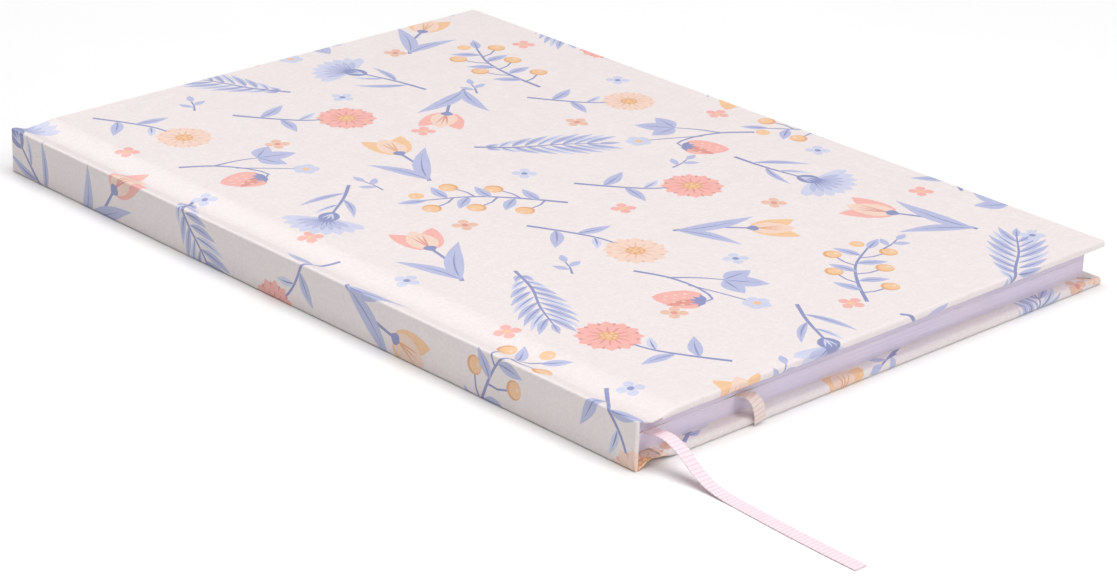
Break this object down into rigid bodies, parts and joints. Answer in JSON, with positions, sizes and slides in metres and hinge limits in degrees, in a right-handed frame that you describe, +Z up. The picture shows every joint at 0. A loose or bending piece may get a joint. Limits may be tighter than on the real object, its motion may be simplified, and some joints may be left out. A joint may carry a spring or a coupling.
{
  "type": "notebook",
  "caption": "Slim A5 hard-cover notebook in a printed cloth case with French grooves, sewn leaves and ribbon markers; the cover opens flat.",
  "frame": {"origin": "bottom centre of the closed notebook's box without the ribbons' free tails, on the surface it lies on", "axes": "+X from the spine to the fore-edge, +Y from the foot to the head along the spine, +Z up through the front cover"},
  "size_m": [0.1528, 0.2733, 0.0112],
  "materials": {
    "printed_cloth": "satin, fine leather grain, printed",
    "greyboard": "matte",
    "endpaper": "matte",
    "leaf_paper": "matte",
    "lining_paper": "matte",
    "mull_cloth": "open weave",
    "pink_ribbon": "ribbed, soft sheen",
    "cream_ribbon": "ribbed, soft sheen"
  },
  "bodies": {
    "back_cover": {"back_cover_wrap": "printed_cloth", "back_board": "greyboard", "back_joint_cloth": "printed_cloth", "back_pastedown": "endpaper", "back_flyleaf": "endpaper", "lower_section_1": "leaf_paper", "mull": "mull_cloth", "spine_lining": "lining_paper", "pink_ribbon_run": "pink_ribbon", "pink_ribbon_tail": "pink_ribbon", "cream_ribbon_run": "cream_ribbon", "cream_ribbon_tail": "cream_ribbon"},
    "spine": {"spine_wrap": "printed_cloth", "spine_board": "greyboard", "front_joint_cloth": "printed_cloth"},
    "front_cover": {"front_cover_wrap": "printed_cloth", "front_board": "greyboard", "front_pastedown": "endpaper", "front_flyleaf": "endpaper"},
    "upper_section_3_leaves": {"upper_section_3": "leaf_paper"},
    "upper_section_2_leaves": {"upper_section_2": "leaf_paper"},
    "upper_section_1_leaves": {"upper_section_1": "leaf_paper"},
    "lower_section_2_leaves": {"lower_section_2": "leaf_paper"},
    "lower_section_3_leaves": {"lower_section_3": "leaf_paper"},
    "lower_section_4_leaves": {"lower_section_4": "leaf_paper"},
    "lower_section_5_leaves": {"lower_section_5": "leaf_paper"}
  },
  "joints": [
    {"name": "spine_hinge", "type": "hinge", "parent": "back_cover", "child": "spine", "pos_m": [-0.0757, 0, 0.00075], "axis": [0, 1, 0], "range_deg": [-90, 0], "deforming": ["back_joint_cloth", "mull", "spine_lining"]},
    {"name": "front_cover_hinge", "type": "hinge", "parent": "spine", "child": "front_cover", "pos_m": [-0.0757, 0, 0.01046], "axis": [0, 1, 0], "range_deg": [-90, 0], "deforming": ["front_joint_cloth"]},
    {"name": "upper_section_3_shift", "type": "slide", "parent": "front_cover", "child": "upper_section_3_leaves", "axis": [1, 0, 0], "range_m": [-0.00255, 0]},
    {"name": "upper_section_2_shift", "type": "slide", "parent": "front_cover", "child": "upper_section_2_leaves", "axis": [1, 0, 0], "range_m": [-0.00435, 0]},
    {"name": "upper_section_1_shift", "type": "slide", "parent": "front_cover", "child": "upper_section_1_leaves", "axis": [1, 0, 0], "range_m": [-0.00605, 0]},
    {"name": "lower_section_2_shift", "type": "slide", "parent": "back_cover", "child": "lower_section_2_leaves", "axis": [1, 0, 0], "range_m": [-0.00125, 0]},
    {"name": "lower_section_3_shift", "type": "slide", "parent": "back_cover", "child": "lower_section_3_leaves", "axis": [1, 0, 0], "range_m": [-0.00245, 0]},
    {"name": "lower_section_4_shift", "type": "slide", "parent": "back_cover", "child": "lower_section_4_leaves", "axis": [1, 0, 0], "range_m": [-0.00365, 0]},
    {"name": "lower_section_5_shift", "type": "slide", "parent": "back_cover", "child": "lower_section_5_leaves", "axis": [1, 0, 0], "range_m": [-0.00485, 0]}
  ],
  "couplings": [
    {"joint": "spine_hinge", "follows": "front_cover_hinge", "ratio": 1},
    {"joint": "upper_section_3_shift", "follows": "front_cover_hinge", "m_per_rad": 0.0015915},
    {"joint": "upper_section_2_shift", "follows": "front_cover_hinge", "m_per_rad": 0.0027375},
    {"joint": "upper_section_1_shift", "follows": "front_cover_hinge", "m_per_rad": 0.0038197},
    {"joint": "lower_section_2_shift", "follows": "front_cover_hinge", "m_per_rad": 0.0007639},
    {"joint": "lower_section_3_shift", "follows": "front_cover_hinge", "m_per_rad": 0.0015279},
    {"joint": "lower_section_4_shift", "follows": "front_cover_hinge", "m_per_rad": 0.0022918},
    {"joint": "lower_section_5_shift", "follows": "front_cover_hinge", "m_per_rad": 0.0030558}
  ]
}
